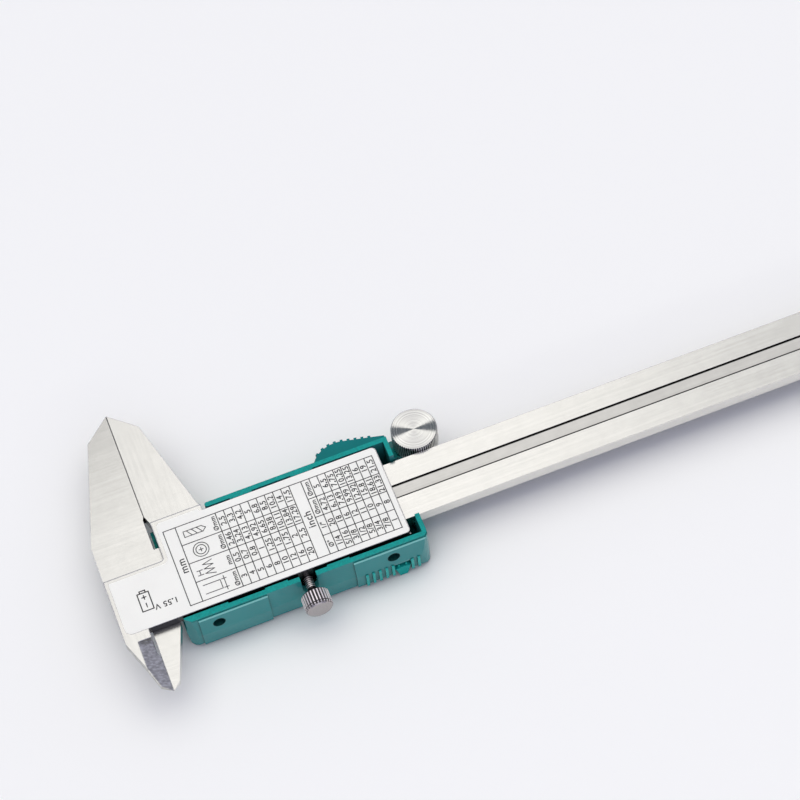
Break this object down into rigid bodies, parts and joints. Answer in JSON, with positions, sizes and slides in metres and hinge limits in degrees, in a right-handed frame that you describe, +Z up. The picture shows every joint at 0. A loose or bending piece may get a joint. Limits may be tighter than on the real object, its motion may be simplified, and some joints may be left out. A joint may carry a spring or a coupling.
{
  "type": "digital caliper",
  "caption": "Closed digital caliper lying on its display: grooved steel beam, sliding jaws, printed back label, teal housing with thumb rest, thumb roller and lock screw.",
  "frame": {"origin": "middle of the footprint, at the housing's front face on which the caliper lies", "axes": "+X along the beam towards its tail, +Y towards the tips of the outside jaws, +Z up, out of the back label"},
  "size_m": [0.2364, 0.0772, 0.0137],
  "materials": {
    "steel": "satin ground",
    "turned_steel": "turned and knurled",
    "rod_steel": "drawn",
    "label": "printed film",
    "teal": "fine grained moulding",
    "brass": "plain",
    "board": "solder mask",
    "resin": "cured resin",
    "film": "printed film",
    "display": "display glass stack",
    "rubber": "soft strips",
    "window": "clear",
    "bezel": "printed panel",
    "cell": "plated can",
    "button_light": "moulded",
    "button_bright": "moulded"
  },
  "bodies": {
    "beam": {"beam": "steel", "scale_board": "board", "scale_film": "film", "end_stop": "steel", "end_stop_screws": "turned_steel"},
    "slider": {"slider_frame": "steel", "back_label": "label", "depth_rod": "rod_steel", "depth_rod_rivet": "turned_steel", "gib_strip": "brass", "gib_screws": "turned_steel", "housing": "teal", "housing_screws": "turned_steel", "circuit_board": "board", "controller_blob": "resin", "dome_switches": "turned_steel", "lcd_panel": "display", "zebra_strips": "rubber", "lcd_window": "window", "front_bezel": "bezel", "battery": "cell", "battery_base_contact": "brass", "battery_side_contact": "brass", "roller_axle": "turned_steel"},
    "roller": {"roller": "turned_steel"},
    "lock_pad": {"lock_pad": "brass"},
    "lock_screw": {"lock_screw": "turned_steel"},
    "battery_cover": {"battery_cover": "teal"},
    "unit_button": {"unit_button": "button_light"},
    "power_button": {"power_button": "button_bright"},
    "zero_button": {"zero_button": "button_light"}
  },
  "joints": [
    {"name": "slider_slide", "type": "slide", "parent": "beam", "child": "slider", "axis": [1, 0, 0], "range_m": [0, 0.15]},
    {"name": "roller_spin", "type": "hinge", "parent": "slider", "child": "roller", "pos_m": [-0.03485, 0.0044, 0.01123], "axis": [0, 0, 1], "range_deg": [-1500, 5]},
    {"name": "lock_pad_slide", "type": "slide", "parent": "slider", "child": "lock_pad", "axis": [0, 1, 0], "range_m": [-0.00025, 0.00025]},
    {"name": "lock_screw_turn", "type": "hinge", "parent": "lock_pad", "child": "lock_screw", "pos_m": [-0.07235, -0.0244, 0.0095], "axis": [0, 1, 0], "range_deg": [-181, 181]},
    {"name": "battery_cover_slide", "type": "slide", "parent": "slider", "child": "battery_cover", "axis": [0, -1, 0], "range_m": [0, 0.012]},
    {"name": "unit_button_press", "type": "slide", "parent": "slider", "child": "unit_button", "axis": [0, 0, 1], "range_m": [0, 0.0006], "stiffness_N_per_m": 800},
    {"name": "power_button_press", "type": "slide", "parent": "slider", "child": "power_button", "axis": [0, 0, 1], "range_m": [0, 0.0006], "stiffness_N_per_m": 800},
    {"name": "zero_button_press", "type": "slide", "parent": "slider", "child": "zero_button", "axis": [0, 0, 1], "range_m": [0, 0.0006], "stiffness_N_per_m": 800}
  ],
  "couplings": [
    {"joint": "roller_spin", "follows": "slider_slide", "rad_per_m": -173.91},
    {"joint": "lock_screw_turn", "follows": "lock_pad_slide", "rad_per_m": 12566}
  ]
}
